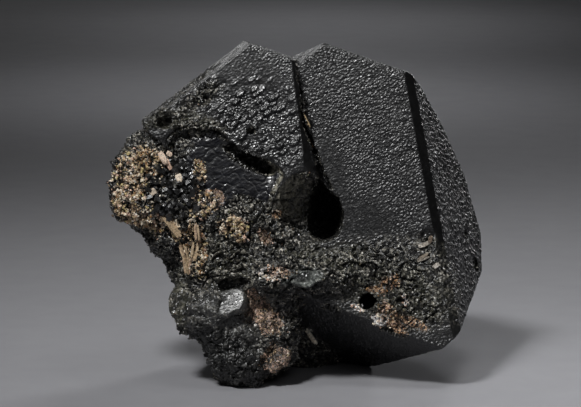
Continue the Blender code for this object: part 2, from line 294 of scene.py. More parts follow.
on_crystal = ((FACE >= 0) & (FACE != FLOOR_FACE) & (FACE != FRACTURE_FACE)).astype(float)
CRYSTAL = spread_out(on_crystal, 4)

# A way for each vertex by which the patches' outlines wander, and how much of it a patch takes
RAGGED = np.stack([ripple(PLACES, 1.7 * MM, seed) for seed in (51, 52, 53)], 1) * 0.9
WANDER = 0.35
WANDER_LIMIT = 1.6


def patch(right, up, half_right, half_up, turn=0, deep=3.0, soft=0.35):
    """1 on the surface round the place seen at right, up, falling to 0 past a ragged ellipse.

    The half sizes and the depth are in mm, the turn is in degrees, and soft is how wide the fall is."""
    way = (PLACES - np.array(spot(right, up))) / MM
    way += RAGGED * min(half_right, half_up, WANDER_LIMIT) * WANDER
    a, b, c = way @ np.array(RIGHT), way @ np.array(UP), way @ np.array(TO_CAMERA)
    angle = math.radians(turn)
    along = a * math.cos(angle) + b * math.sin(angle)
    over = b * math.cos(angle) - a * math.sin(angle)
    far = np.sqrt((along / half_right) ** 2 + (over / half_up) ** 2 + (c / deep) ** 2)
    return ramp(far, 1 + soft, 1 - soft)


def patches(*given):
    """The largest of several patches everywhere."""
    return np.max([patch(*each) for each in given], axis=0)


# Broken rims that are worn round, and how often the wear is repeated there and on all the rock
RIMS = (
    (-16.6, 41.2, 3.8, 1.8, -4, 4),
    (-19.4, 39, 1.8, 2.6, 0, 4),
    (-11.6, 39.8, 1.6, 1.4, 0, 4),
    (-2.8, 31.2, 2, 5.4, 10, 4),
    (0.6, 34.8, 1.8, 1.4, 0, 4),
)
RIM_ROUNDS = 260
ROCK_ROUNDS = 24


def softened():
    """Wears down the solid's edges where the surface isn't crystal, and reads the new directions."""
    share = spread_out(1 - on_crystal, 3) * ramp(PLACES[:, 2], 0.05 * MM, 0.8 * MM)
    made = ironed(PLACES, share, ROCK_ROUNDS)
    made = ironed(made, patches(*RIMS), RIM_ROUNDS)
    mesh.vertices.foreach_set("co", made.ravel())
    mesh.update()
    return made, as_array(mesh.vertices, "normal", 3)


PLACES, FACING = softened()
TOWARDS = FACING @ np.array(TO_CAMERA)
FRACTURE = spread_out((FACE == FRACTURE_FACE).astype(float), 6)
FRACTURE *= 1 - patches((-18.8, 39.0, 2.4, 3.0, 0, 4), (-17.2, 41.2, 3.4, 1.3, 0, 4))
CROWN = spread_out(np.isin(FACE, (LEFT_CROWN, RIGHT_CROWN)).astype(float), 2)
BEVEL = spread_out(np.isin(FACE, (LEFT_BEVEL, RIGHT_BEVEL)).astype(float), 1)
LEFT_SIDE = (FACE == LEFT_FRONT).astype(float)
on_flank = on_crystal * ~np.isin(FACE, (LEFT_FRONT, RIGHT_FRONT)) * (TOWARDS > 0)
FLANK = spread_out(on_flank.astype(float), 3)
FLANK_MIDDLE = ramp(spread_out(FLANK, 30), 0.5, 0.95)
LOW_FLANK = FLANK * ramp(PLACES[:, 2], 24 * MM, 8 * MM)
FREE = ramp(PLACES[:, 2], 0.05 * MM, 0.5 * MM)


# Where the crusts, colours and kinds of relief lie: right, up, half sizes, turn, depth

UNEVEN = ramp(ripple(PLACES, 2.4 * MM, 41) + 0.6 * ripple(PLACES, 1.0 * MM, 42), -0.42, 0.1)
TAN = (0.28 + 0.72 * UNEVEN) * patches(
    (-25.3, 30.6, 4.9, 7, 0, 5),
    (-23.5, 36, 3, 2.2, 0, 4),
    (-20.9, 35.9, 1.8, 1, -40, 2),
    (-14.9, 34, 1.2, 2.1, 0, 2),
    (-14, 29.4, 1.9, 2.2, -30, 3),
    (-19, 25.8, 1, 2.4, 30, 3),
    (-15.2, 22.8, 1.3, 4.8, 8, 3),
    (-15.8, 21, 1.5, 3, 12, 3),
    (-22, 27, 3, 1.6, -30, 4),
    (-9.4, 25.9, 1.9, 1.6, 0, 3),
    (-8.4, 24.4, 1.6, 1, -40, 3),
)
PINK = patches(
    (-4.4, 24, 1.6, 0.8, -40, 3),
    (-2.6, 18.5, 1.9, 1, 0, 3),
    (-4.4, 11.6, 3.4, 1.8, -48, 3),
    (-6.4, 14.9, 0.9, 1.5, 15, 3),
    (-2.7, 4.9, 2.2, 2.1, 0, 3),
    (14.9, 11.9, 1.3, 2.3, 20, 3),
    (-12.3, 30.3, 1.4, 1.6, 0, 3),
)
RUST = patches(
    (-10.8, 25.9, 1.2, 0.8, 0, 3),
    (-2.5, 27.7, 0.8, 0.7, 0, 3),
    (15, 16.6, 2.1, 1.1, 34, 3),
    (12.6, 15.9, 1.2, 0.5, 5, 3),
    (15.6, 11.6, 1, 2.2, 20, 3),
    (16.4, 9.9, 1.8, 0.9, -30, 3),
    (19, 10.6, 2.4, 0.8, -25, 4),
)
OLIVE = patches(
    (-17, 42.2, 6, 1.9, -12, 4),
    (-21.5, 43, 2.6, 1.9, 0, 4),
    (-18, 14.2, 1.8, 5.4, 0, 3),
    (2.8, 17.8, 2.6, 1.2, 0, 3),
    (16, 15, 9, 4.4, -12, 4),
    (-11, 20, 5, 4, 0, 4),
    (6, 21, 6, 2.4, 0, 5),
    (-1.4, 32.4, 3, 3.6, 20, 6),
)
# Paler rock: partly its own pale tone, and on the slope into the cavity painted light that stands in for
# light the left crystal's overhang keeps off
PALE_TONE_AND_PAINTED_LIGHT = 0.8 * patches(
    (-1, 31.6, 3.4, 3, 30, 6),
    (-0.6, 27.4, 2.2, 2.6, 0, 6),
    (-17.6, 43, 4.6, 1.5, -10, 4),
    (-14, 39.6, 4, 1.6, 0, 4),
    (-8, 29, 3.5, 2.2, 0, 4),
    (-9, 22.6, 3.4, 1.6, 20, 4),
    (-12.6, 24.4, 2.2, 2.2, 20, 4),
    (-11.5, 19.7, 3.2, 2.4, 0, 4),
)
PALE_TONE_AND_PAINTED_LIGHT += 0.2 * patches(
    (-3.4, 23, 5.5, 2.6, 0, 5),
    (4, 20.6, 8, 2.4, -6, 5),
    (15, 18.6, 8, 1.9, -8, 5),
)
PALE = patches(
    (-3.6, 18.3, 2.6, 1, -12, 2),
    (10.2, 12.9, 1.4, 0.5, -20, 1.5),
    (14, 11.2, 1.5, 1.1, 30, 1.5),
    (17.6, 14.2, 0.6, 1, 20, 1.5),
)
# Painted shade: the lobe's downward-facing underside, the foot and the groove under the left crystal are
# painted black; the lobe's relief stays rugged here
SHADE_PATCHES = patches(
    (-11.5, 4.8, 5.6, 4.4, 0, 6),
    (-5.5, 2.4, 4, 1.6, 0, 5),
    (-14, 8.8, 1.8, 2, 0, 3),
    (-7.6, 36.4, 4.6, 1.5, -32, 4),
)
DARK_BLOCKS = patch(-19.2, 31.6, 3.9, 4.4, -20, 4)
LOBE = patches((-9.8, 11.0, 7.5, 5.5, 0, 6), (-9.0, 4.0, 7.0, 4.0, 0, 6))
GLINT = patches((-9.4, 13.8, 2.5, 1.15, 12, 2, 0.6), (-10.9, 13.1, 1.2, 1.3, 0, 2, 0.6))
SLATE = patches((2.4, 17.9, 2.4, 1.2, 12, 2), (-0.4, 17.2, 1.4, 0.9, 10, 2))
# The smooth pocket under the left crystal: its olive colour is real, and is painted lighter as painted
# light where the overhang keeps light off
POCKET = patches((-0.6, 31.4, 3.2, 4.6, 20, 6), (-2.6, 33.4, 1.6, 2.6, 0, 6))
BUMPY_LEFT = patches(
    (-4.8, 42, 7.5, 6.2, -20, 4),
    (-1.2, 38.2, 3, 3.4, -40, 4),
    (-13, 46.8, 2.6, 2.2, 30, 4),
)
ROUGH_LEFT = patches(
    (-17, 42.2, 6, 1.7, -12, 4),
    (-14.8, 46, 4, 1.4, 38, 4),
    (-21.5, 43, 2.6, 1.9, 0, 4),
)
ROUGH_LEFT = np.maximum(ROUGH_LEFT, 0.4 * patch(-18.2, 46.8, 7.5, 2.0, 36, 6))
ROUGH_RIGHT = patches((17.5, 17.0, 11.0, 6.5, -8, 6), (13.0, 20.5, 8.0, 3.0, 0, 6))
RIBS = patches((14.0, 23.4, 12.0, 1.7, -3, 4), (22.6, 14.0, 1.8, 6.0, 12, 4))
CALM = patches((6.4, 33.0, 2.4, 7.0, 8, 4), (10.0, 27.4, 6.0, 3.4, 0, 4), (-8.0, 50.0, 7.0, 3.5, -20, 4))
# The cavity, the slope into it and a deep pit: painted shade darkens the colour here, and the rock relief
# is lower
HOLLOW = patches(
    (5.6, 27.5, 3.4, 6.2, 0, 30),
    (3.4, 26.4, 3.9, 5.4, 10, 14, 0.7),
    (11.8, 13.6, 2.2, 2, 0, 6),
)
ROCK = 1 - CRYSTAL
POLISHED = CROWN * (1 - ROUGH_LEFT)
ROUGH_FRONT = ROUGH_RIGHT * CRYSTAL * (TOWARDS > 0.2)


# Relief, in metres along the surface's own direction

def picture_way(degrees):
    """The direction in the picture's plane that rises by degrees from the right."""
    return RIGHT * math.cos(math.radians(degrees)) + UP * math.sin(math.radians(degrees))


DIAGONAL = picture_way(38)
STEEP = picture_way(117)
SCALES = picture_way(12)
TO_THE_KEY = np.array(UP * 0.85 - RIGHT * 0.4)
SCRATCHES = RIGHT * 0.9 + UP * 0.4


def where(mask, make):
    """make's numbers at the vertices where the mask isn't near 0, times the mask, and 0 elsewhere."""
    there = mask > FAINT
    made = np.zeros(len(mask))
    made[there] = make(there) * mask[there]
    return made


def domes(places, size, seed, along, factor, least=0.3, gap=0.25):
    """Domes side by side with sharp gaps, from 0 to 1, longer along one direction."""
    near, second, _, lot = cells(stretched(places, along, factor), size, seed)
    dome = np.clip(1 - (near / 0.65) ** 2, 0, 1)
    return dome * ramp(second - near, 0, gap) * (least + (1 - least) * lot[:, 0])


def plates(places, size, seed, along, factor, share):
    """Separate flat plates that lean up and to the left, on part of the surface, from 0 to about 1."""
    near, _, way, lot = cells(stretched(places, along, factor), size, seed)
    top = np.clip(2.2 * (1 - (near / 0.56) ** 2), 0, 1)
    lean = (way * (0.8 * (lot - 0.5) - TO_THE_KEY)).sum(1)
    return top * (0.55 + 0.45 * lot[:, 0] + 0.9 * lean) * ramp(lot[:, 1], 1 - share, 1.1 - share)


def blocks(places, size, seed, tilt=1.4):
    """Tilted flat facets, from about -1 to 1, as broken crystals have."""
    _, _, way, lot = cells(places, size, seed)
    lean = (lot - 0.5) * 2
    return (way * lean).sum(1) * tilt + (lot[:, 0] - 0.5) * 0.9


def crystal_relief(there):
    """Close fine domes, lower where the faces are calm, with combed ribs on the flank and steps behind."""
    places = PLACES[there]
    flank = FLANK[there] * (1 - BEVEL[there])
    fine = domes(places, 0.46 * MM, 3, DIAGONAL, 1.5) * (1 - flank)
    combed = stretched(places, TO_CAMERA, 2.6)
    fine += 2.6 * domes(combed, 0.33 * MM, 4, STEEP, 3.0) * flank * (0.3 + 0.7 * FLANK_MIDDLE[there])
    patchy = ramp(ripple(places, 4.0 * MM, 8), -0.6, 0.5)
    smooth = np.maximum(POLISHED, BEVEL)[there]
    height = (0.07 + 0.05 * patchy) * fine * (1 - 0.9 * smooth) * (1 - 0.55 * CALM[there])
    height += 0.03 * ripple(places, 3.4 * MM, 5)
    steps = 0.2 * ramp(ripple(places, 3.0 * MM, 9), -0.05, 0.05)
    steps += 0.14 * domes(places, 1.2 * MM, 17, DIAGONAL, 1.7)
    behind = ramp(TOWARDS[there], 0.05, -0.25)
    return (height + (steps - 0.16) * behind) * MM


def bumpy_relief(there):
    """Plates and small pebbles in rows that rise to the right."""
    places = PLACES[there]
    large = plates(places, 0.92 * MM, 11, DIAGONAL, 2.0, 0.62)
    small = domes(places, 0.42 * MM, 12, DIAGONAL, 1.5)
    return (0.42 * large + 0.08 * small + 0.08 * ripple(places, 1.6 * MM, 2) - 0.12) * MM


def ribbed_relief(there):
    """Granules on the lower part of the right crystal's front, with rows of ribs near its edges."""
    places = PLACES[there]
    rows = domes(places, 0.62 * MM, 13, DIAGONAL, 2.2, 0.1)
    granules = domes(places, 0.5 * MM, 16, DIAGONAL, 1.2, 0.0)
    facets = blocks(places, 0.7 * MM, 14)
    ribs = RIBS[there]
    grain = 0.3 * rows * ribs + 0.3 * granules * (1 - ribs)
    return (grain + 0.1 * facets + 0.16 * rough(places, 2.2 * MM, 15, 3) - 0.1) * MM


def striped_relief(there):
    """Fine stripes along the crown strips and curved scratches on the fracture."""
    places = PLACES[there] + 0.9 * MM * ripple(PLACES[there], 6 * MM, 9)[:, None]
    lines = ripple(stretched(places, RIGHT * 0.8 + UP * 0.6, 8), 0.42 * MM, 4)
    return (0.07 - 0.05 * FRACTURE[there]) * lines * MM


def rock_relief(there):
    """Broken blocks of two sizes with deep crevices between."""
    places = PLACES[there]
    coarse = rough(places, 2.6 * MM, 1, 3)
    broken = blocks(places + 0.25 * MM * coarse[:, None], 1.4 * MM, 21)
    small = blocks(places, 0.55 * MM, 22)
    crevice = ramp(np.abs(ripple(places + 0.35 * MM * coarse[:, None], 1.8 * MM, 33)), 0.15, 0.02)
    worn = LOBE[there] * (1 - 0.8 * SHADE_PATCHES[there])
    calm = 1 - 0.85 * worn
    deep = 0.45 - 0.38 * worn
    return ((0.24 * coarse + 0.3 * broken + 0.2 * small) * calm - deep * crevice) * MM


def lobe_relief(there):
    """Large faces with rows of scales."""
    places = PLACES[there]
    broad = blocks(places + 0.3 * MM * ripple(places, 2 * MM, 6)[:, None], 4.2 * MM, 23, 0.9)
    bent = places + 0.3 * MM * ripple(places, 2.4 * MM, 7)[:, None]
    scales = domes(bent, 0.5 * MM, 25, SCALES, 4.2, 0.25)
    return (0.32 * broad + 0.17 * scales + 0.12 * rough(places, 1.4 * MM, 26, 3)) * MM


def crust_relief(there):
    """Knobs of the crust, in clumps."""
    near, _, _, lot = cells(PLACES[there], 0.6 * MM, 31)
    clump, second, _, _ = cells(PLACES[there] + 0.2 * MM * near[:, None], 1.5 * MM, 32)
    knobs = 0.3 * np.clip(1 - (near / 0.6) ** 2, 0, 1) * lot[:, 1]
    clumps = 0.45 * ramp(second - clump, 0, 0.3) * TAN[there]
    return (knobs * (0.4 + 0.6 * TAN[there]) + clumps - 0.15) * MM


# How far a plane may move the surface, and the slant past which it moves it no further
FLATTEN_LIMIT = 1.2 * MM
FLATTEN_SLANT = 0.4


def flattened(mask, right, up, sideways, upwards, lift):
    """How far to move each vertex towards a plane near the place seen at right, up.

    The plane faces the camera, turned to the right and upwards by degrees, and lies lift mm out."""
    side, high = math.radians(sideways), math.radians(upwards)
    towards = TO_CAMERA * math.cos(side) * math.cos(high) + RIGHT * math.sin(side) + UP * math.sin(high)
    towards = np.array(towards.normalized())
    middle = np.array(spot(right, up)) + towards * lift * MM
    gap = (middle - PLACES) @ towards / np.maximum(FACING @ towards, FLATTEN_SLANT)
    return np.clip(gap, -FLATTEN_LIMIT, FLATTEN_LIMIT) * mask


# Small hollows: right, up, half sizes, turn, and how deep in mm
PITS = (
    (-20.2, 42.6, 1.3, 1.1, 20, 1),
    (-14.9, 49, 1, 0.45, 38, 0.6),
    (-17.2, 40.2, 1, 0.5, -15, 0.6),
    (-3.4, 21.4, 1, 0.4, 10, 0.5),
    (-7.6, 18.6, 1.6, 0.6, -10, 0.7),
    (21.1, 24.3, 1.1, 0.8, 30, 0.6),
    (11.7, 13.6, 2.3, 2.1, 0, 1.6),
    (7.8, 19.4, 1, 0.4, 20, 0.5),
    (16.9, 14, 0.6, 0.5, 0, 0.5),
)

# Flat facets: a patch's right, up, half sizes and turn, then degrees sideways and upwards, and mm outwards
PLANES = (
    ((-9.6, 13.6, 3.1, 1.7, 10), (-11, 23, 0.0)),
    ((-17.6, 14.4, 1.6, 3.6, 0), (-30, 10, 0.2)),
    ((-2.7, 4.9, 2.3, 2.2, 0), (-10, 14, 0.0)),
    ((2.6, 17.8, 2.4, 1.1, 12), (5, 18, 0.3)),
    ((-9.0, 16.8, 3.4, 1.0, 8), (0, -45, -0.4)),
    ((-15.0, 31.6, 1.2, 1.6, 0), (20, 10, 0.1)),
)

# The swelling under the bright spot of the lobe: a patch, and how high it is in mm
SWELLING = (-9.5, 13.7, 3.0, 1.7, 10, 3, 0.9)
SWELLING_HEIGHT = 0.22


def relief():
    """How far each vertex moves out of the solid's surface."""
    crust = np.clip(TAN + 0.8 * PINK + 0.8 * RUST, 0, 1)
    rocky = ROCK * (1 - 0.93 * FRACTURE) * (1 - 0.6 * HOLLOW) * (1 - 0.3 * POCKET)
    rocky = np.clip(rocky + 0.75 * ROUGH_LEFT, 0, 1)
    even = CRYSTAL * (1 - 0.5 * LEFT_SIDE) * (1 - 0.8 * np.maximum(ROUGH_LEFT, ROUGH_FRONT))
    height = where(even, crystal_relief)
    height += where(CRYSTAL * BUMPY_LEFT * LEFT_SIDE, bumpy_relief)
    height += where(ROUGH_FRONT, ribbed_relief)
    height += where(np.maximum(CROWN, FRACTURE), striped_relief)
    height += where(rocky, rock_relief)
    height += where(ROCK * LOBE, lobe_relief)
    for place, plane in PLANES:
        level = patch(*place)
        height = height * (1 - 0.9 * level) + flattened(level, *place[:2], *plane)
    height += patch(*SWELLING) * SWELLING_HEIGHT * MM
    for *place, depth in PITS:
        height -= patch(*place, 3, 0.5) * depth * MM
    height += where(crust * ramp(TOWARDS, -0.2, 0.2), crust_relief)
    height += where(DARK_BLOCKS * ROCK, lambda there: 0.45 * blocks(PLACES[there], 1.1 * MM, 24) * MM)
    return height * FREE


HEIGHT = relief()
# How far each vertex lies above or below the relief round it, which the materials read to paint shade into
# the low places
near_mean = spread_out(HEIGHT, 14)
RELIEF = (HEIGHT - 0.6 * near_mean - 0.4 * spread_out(near_mean, 100)) / MM
MOVED = PLACES + FACING * HEIGHT[:, None]
MOVED[:, 2] = np.maximum(MOVED[:, 2], 0)
mesh.vertices.foreach_set("co", MOVED.ravel())

# One number for each vertex, for the materials to read
STORED = {
    "crystal": CRYSTAL * (1 - 0.7 * ROUGH_RIGHT) * (1 - 0.8 * ROUGH_LEFT),
    "tan": TAN * (1 - DARK_BLOCKS),
    "pink": PINK,
    "rust": RUST,
    "olive": OLIVE,
    "pale": PALE,
    "light": PALE_TONE_AND_PAINTED_LIGHT,
    "painted_shade": SHADE_PATCHES,
    "slate": SLATE,
    "dull": 0.3 * LOW_FLANK,
    "flank": FLANK * (1 - BEVEL) * (1 - 0.6 * LOW_FLANK),
    "shiny": np.maximum(LOBE, BUMPY_LEFT * LEFT_SIDE),
    "glint": GLINT,
    "pocket": POCKET,
    "lobe": LOBE * (1 - np.clip(PINK * 2, 0, 1)),
    "calm": np.maximum(CALM, LOW_FLANK),
    "bevel": BEVEL,
    "hollow": HOLLOW,
    "fracture": FRACTURE,
    "polished": POLISHED,
    "relief": RELIEF,
}
for key, numbers in STORED.items():
    keep(mesh, key, numbers)


# Materials

class Shader:
    """A material's nodes, with short ways to make and join them."""

    def __init__(self, name):
        self.material = bpy.data.materials.new(name)
        self.material.use_nodes = True
        self.nodes, self.links = self.material.node_tree.nodes, self.material.node_tree.links
        self.surface = self.nodes["Principled BSDF"]
        self.place = self.nodes.new("ShaderNodeTexCoord").outputs["Object"]

    def put(self, socket, value):
        if isinstance(value, bpy.types.NodeSocket):
            self.links.new(value, socket)
        elif value is not None:
            socket.default_value = value

    def node(self, kind, **inputs):
        """A new node, with a value or another node's result at each input given."""
        node = self.nodes.new("ShaderNode" + kind)
        for name, value in inputs.items():
            self.put(node.inputs[name], value)
        return node

    def operate(self, kind, operation, first, second):
        node = self.node(kind)
        node.operation = operation
        self.put(node.inputs[0], first)
        self.put(node.inputs[1], second)
        return node

    def read(self, name):
        """The number that the mesh holds under that name."""
        node = self.node("Attribute")
        node.attribute_name = name
        return node.outputs["Fac"]

    def math(self, operation, first, second):
        return self.operate("Math", operation, first, second).outputs[0]

    def times(self, first, second):
        return self.math("MULTIPLY", first, second)

    def rest(self, value, factor=1.0):
        """What a value times a factor leaves of 1."""
        return self.math("SUBTRACT", 1.0, self.times(value, factor))

    def largest(self, *values):
        return functools.reduce(lambda first, second: self.math("MAXIMUM", first, second), values)

    def noise(self, size, detail=3.0, roughness=0.55, place=None):
        place = place or self.place
        node = self.node("TexNoise", Vector=place, Scale=1 / size, Detail=detail, Roughness=roughness)
        return node.outputs["Fac"]

    def cells(self, size, place):
        """The distance to the nearest of many centres."""
        return self.node("TexVoronoi", Vector=place, Scale=1 / size).outputs["Distance"]

    def band(self, value, low, high, out_low=0.0, out_high=1.0):
        """A smooth rise from one number to another as the value goes from low to high."""
        node = self.node("MapRange")
        node.interpolation_type = "SMOOTHSTEP"
        for socket, given in zip(node.inputs[:5], (value, low, high, out_low, out_high)):
            self.put(socket, given)
        return node.outputs["Result"]

    def colours(self, value, stops, sharp=False):
        """A colour that runs through the stops, in steps where it is sharp."""
        node = self.node("ValToRGB", Fac=value)
        if sharp:
            node.color_ramp.interpolation = "CONSTANT"
        points = node.color_ramp.elements
        while len(points) < len(stops):
            points.new(0.5)
        for point, (place, colour) in zip(points, stops):
            point.position = place
            point.color = (*colour, 1)
        return node.outputs["Color"]

    def mix(self, share, first, second, kind="MIX"):
        """Two colours mixed: they go in at sockets 6 and 7, and the mix comes out at 2."""
        node = self.node("Mix")
        node.data_type = "RGBA"
        node.blend_type = kind
        self.put(node.inputs["Factor"], share)
        self.put(node.inputs[6], first)
        self.put(node.inputs[7], second)
        return node.outputs[2]

    def stretched(self, along, factor):
        """The place squeezed along a direction, so that a pattern comes out longer that way."""
        along = along.normalized()
        length = self.operate("VectorMath", "DOT_PRODUCT", self.place, along).outputs["Value"]
        back = self.operate("VectorMath", "SCALE", along * (1 - 1 / factor), None)
        self.put(back.inputs["Scale"], length)
        return self.operate("VectorMath", "SUBTRACT", self.place, back.outputs[0]).outputs[0]

    def facets(self, size):
        """Small cells: three random numbers for each, and a height that leans its own way in each."""
        cell = self.node("TexVoronoi", Vector=self.place, Scale=1 / size).outputs
        lot = self.node("SeparateColor", Color=cell["Color"]).outputs
        way = self.operate("VectorMath", "SUBTRACT", self.place, cell["Position"]).outputs[0]
        lean = self.operate("VectorMath", "SUBTRACT", cell["Color"], (0.5, 0.5, 0.5)).outputs[0]
        height = self.operate("VectorMath", "DOT_PRODUCT", way, lean).outputs["Value"]
        return lot, self.times(height, 1 / size)

    def bump(self, height, distance, strength=1.0, below=None):
        node = self.node("Bump", Distance=distance, Strength=strength, Height=height, Normal=below)
        return node.outputs["Normal"]

    def made(self, colour, roughness, ior, normal):
        """The material, its surface with this finish."""
        self.put(self.surface.inputs["Base Color"], colour)
        self.put(self.surface.inputs["Roughness"], roughness)
        self.put(self.surface.inputs["Normal"], normal)
        self.surface.inputs["IOR"].default_value = ior
        return self.material


# Plain colours of the stone, and the blacks of painted shade on the bevels, in the crevices, in the
# hollows and under the lobe
PAINTED_BEVEL_SHADE = (0.004, 0.004, 0.004, 1)
PAINTED_CREVICE_SHADE = (0.003, 0.003, 0.0025, 1)
PAINTED_HOLLOW_SHADE = (0.004, 0.004, 0.003, 1)
PAINTED_SHADE_BLACK = (0.006, 0.006, 0.005, 1)
LOBE_GREY = (0.05, 0.05, 0.047, 1)
SLATE_GREY = (0.17, 0.185, 0.17, 1)
OLIVE_GREY = (0.085, 0.083, 0.05, 1)
RUST_STAIN = (0.12, 0.066, 0.03, 1)

# Colours that run over a random or a soft number
CRYSTAL_BLACKS = ((0.3, (0.007, 0.007, 0.0075)), (0.7, (0.016, 0.016, 0.0165)))
FRACTURE_BLACKS = (
    (0.45, (0.004, 0.004, 0.006)),
    (0.62, (0.012, 0.013, 0.018)),
    (0.75, (0.07, 0.07, 0.08)),
)
POCKET_OLIVES_PAINTED_LIGHTER = ((0.35, (0.07, 0.066, 0.05)), (0.62, (0.36, 0.337, 0.256)))
ROCK_GREYS = (
    (0.20, (0.003, 0.003, 0.003)),
    (0.36, (0.022, 0.022, 0.020)),
    (0.56, (0.13, 0.123, 0.10)),
    (0.75, (0.34, 0.32, 0.27)),
    (1, (0.75, 0.71, 0.62)),
)
TANS = (
    (0, (0.008, 0.008, 0.006)),
    (0.36, (0.10, 0.06, 0.03)),
    (0.50, (0.45, 0.32, 0.20)),
    (0.66, (0.70, 0.56, 0.40)),
    (0.82, (0.72, 0.47, 0.34)),
    (0.92, (0.88, 0.80, 0.66)),
)
PINKS = ((0.2, (0.02, 0.016, 0.014)), (0.42, (0.22, 0.15, 0.11)), (0.85, (0.56, 0.42, 0.35)))
RUSTS = ((0.3, (0.014, 0.01, 0.008)), (0.55, (0.32, 0.135, 0.045)), (0.8, (0.62, 0.40, 0.24)))
PALES = ((0.3, (0.10, 0.095, 0.09)), (0.7, (0.85, 0.82, 0.80)))

# Each crust: its name, the least of it that shows, its colours, and whether they have sharp steps
CRUSTS = (
    ("tan", 0.86, TANS, True),
    ("pink", 1.0, PINKS, False),
    ("rust", 1.0, RUSTS, False),
    ("pale", 1.1, PALES, False),
)
CRUST_FADE = 0.14

# The fine bumps of the materials: how large, and how high
FACET = 0.30 * MM
DOME = 0.30 * MM
SCRATCH = 0.2 * MM
SCRATCH_DEPTH = 0.014 * MM
ROW = 0.24 * MM
ROW_DEPTH = 0.13 * MM
RIDGE_DEPTH = 0.15 * MM


def rock_colour(s, lot, medium, scratches):
    """Dark rock with pale grains, and its tints where the mesh says."""
    # Paler where the mesh says: partly the rock's pale tone, partly painted light on the slope into the
    # cavity
    lit = s.math("ADD", s.band(medium, 0.3, 0.7, 0.35, 1.1), s.times(s.read("light"), 0.35))
    rock = s.colours(s.times(lot, lit), ROCK_GREYS)
    patchy = s.band(s.noise(0.35 * MM, 4), 0.35, 0.65, 0.0, 0.6)
    rock = s.mix(s.times(s.read("olive"), patchy), rock, OLIVE_GREY)
    rock = s.mix(s.read("lobe"), rock, s.mix(0.75, rock, LOBE_GREY))
    # The pocket's olive-grey, painted lighter to stand in for light the overhang keeps off
    rock = s.mix(s.times(s.read("pocket"), 0.7), rock, s.colours(medium, POCKET_OLIVES_PAINTED_LIGHTER))
    rock = s.mix(s.times(s.read("slate"), 0.85), rock, SLATE_GREY)
    return s.mix(s.read("fracture"), rock, s.colours(scratches, FRACTURE_BLACKS))


def crystal_colour(s):
    """Black, with painted shade that makes the bevelled edges blacker."""
    black = s.colours(s.noise(4 * MM, 3), CRYSTAL_BLACKS)
    # Painted shade: the bevelled edges go blacker
    return s.mix(s.read("bevel"), black, PAINTED_BEVEL_SHADE)


def crusted(s, ground, lot):
    """The ground's colour with rust stains and the four crusts over it."""
    patchy = s.noise(0.7 * MM, 5, 0.75)
    stained = s.times(s.read("rust"), s.band(patchy, 0.3, 0.65, 0.1, 0.85))
    ground = s.mix(stained, ground, RUST_STAIN)
    for crust, least, stops, sharp in CRUSTS:
        amount = s.math("ADD", s.read(crust), patchy)
        ground = s.mix(s.band(amount, least, least + CRUST_FADE), ground, s.colours(lot, stops, sharp))
    return ground


def shaded(s, ground, crystal):
    """The ground's colour with painted shade: black under the lobe and in the groove, in the crevices and
    in the hollows.
    """
    # Painted shade: black under the lobe and in the groove
    ground = s.mix(s.times(s.read("painted_shade"), 0.85), ground, PAINTED_SHADE_BLACK)
    # Painted shade: the ground goes black where the relief lies low against its surroundings, in the
    # crevices
    open_share = s.band(s.read("relief"), -0.10, 0.05, 0.08, 1.0)
    creviced = s.mix(s.rest(open_share), ground, PAINTED_CREVICE_SHADE)
    # Painted shade: the cavity and the pit go nearly black
    dark = s.mix(s.read("hollow"), creviced, s.mix(0.85, creviced, PAINTED_HOLLOW_SHADE))
    return s.mix(crystal, dark, ground)


def stone_roughness(s, shine_low, shine_high):
    """Glossy crystal and rock, dull crust, and a smooth fracture, lobe and bright spot."""
    crusty = s.largest(s.read("tan"), s.read("pink"), s.read("rust"))
    crusty = s.band(crusty, 0.3, 0.7)
    shine = s.band(s.noise(0.8 * MM, 3), 0.35, 0.65, shine_low, shine_high)
    worn = s.math("ADD", s.times(shine, s.rest(crusty)), s.times(crusty, 0.6))
    worn = s.band(s.read("fracture"), 0.0, 1.0, worn, 0.26)
    worn = s.math("SUBTRACT", worn, s.times(s.read("shiny"), 0.08))
    worn = s.math("SUBTRACT", worn, s.times(s.read("glint"), 0.02))
    return s.band(s.read("dull"), 0.0, 1.0, worn, 0.88)


def stone_bumps(s, leaning, scratches, facet_depth, dome_depth):
    """Bumps finer than the mesh: domes, scratches, rows on the lobe, ridges on the flank and facets."""
    fracture = s.read("fracture")
    smooth = s.largest(s.read("polished"), fracture, s.read("bevel"), s.read("glint"))
    plain = s.rest(smooth, 0.97)
    domes = s.times(s.cells(DOME, s.stretched(DIAGONAL, 1.5)), -1.0)
    normal = s.bump(domes, dome_depth, s.times(plain, s.rest(s.read("calm"), 0.5)))
    normal = s.bump(scratches, SCRATCH_DEPTH, fracture, below=normal)
    rows = s.noise(ROW, 2, 0.6, s.stretched(SCALES, 5.0))
    normal = s.bump(rows, ROW_DEPTH, s.read("lobe"), below=normal)
    ridges = s.times(s.cells(DOME, s.stretched(STEEP, 3.0)), -1.0)
    normal = s.bump(ridges, RIDGE_DEPTH, s.read("flank"), below=normal)
    glossy = s.times(s.largest(s.read("lobe"), s.read("pocket")), 0.6)
    plain = s.times(plain, s.rest(glossy, 0.85))
    return s.bump(leaning, facet_depth, plain, below=normal)


def stone(name, ior, shine, facet_depth, dome_depth):
    """Black crystal and dark rock with their crusts, each where the mesh says."""
    s = Shader(name)
    crystal = s.read("crystal")
    (red, green, _), leaning = s.facets(FACET)
    scratches = s.noise(SCRATCH, 2, 0.5, s.stretched(SCRATCHES, 9))
    rock = rock_colour(s, red, s.noise(1.3 * MM, 4, 0.6), scratches)
    ground = crusted(s, s.mix(crystal, rock, crystal_colour(s)), green)
    normal = stone_bumps(s, leaning, scratches, facet_depth, dome_depth)
    return s.made(shaded(s, ground, crystal), stone_roughness(s, *shine), ior, normal)


